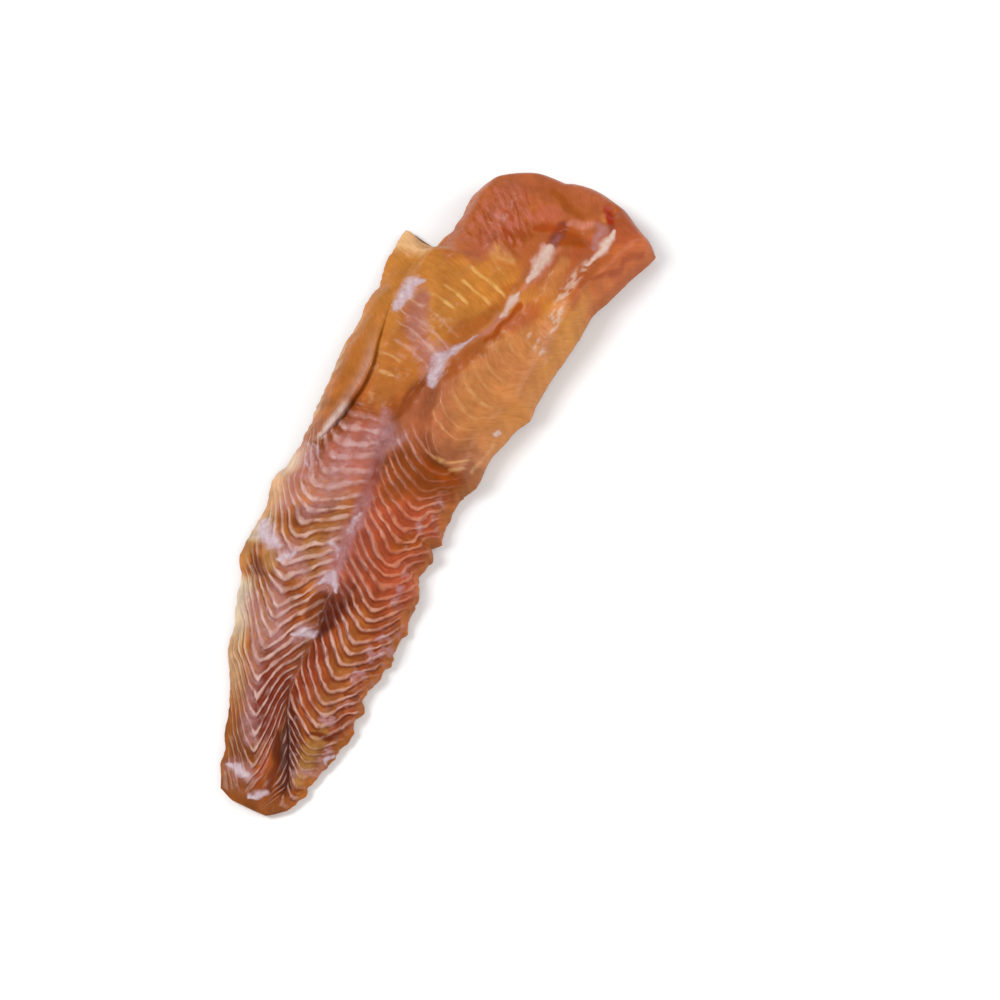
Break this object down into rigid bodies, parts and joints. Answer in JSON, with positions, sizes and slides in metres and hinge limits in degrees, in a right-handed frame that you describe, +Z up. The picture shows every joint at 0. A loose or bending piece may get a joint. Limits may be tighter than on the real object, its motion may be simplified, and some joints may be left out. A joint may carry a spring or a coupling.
{
  "type": "catfish fillet",
  "caption": "Long boned side of catfish lying flat, with chevron flakes, a central groove, a thick loin and a folded belly flap.",
  "frame": {"origin": "centre of the fillet's bounding box, at the level of the flat underside", "axes": "+X from the tail to the head end, +Y towards the folded belly edge, +Z up out of the cut side with the flakes"},
  "size_m": [0.284, 0.0954, 0.0223],
  "materials": {
    "flesh": "moist amber to salmon flesh with pale lines between the flakes"
  },
  "bodies": {
    "root": {"fillet": "flesh"}
  },
  "joints": []
}
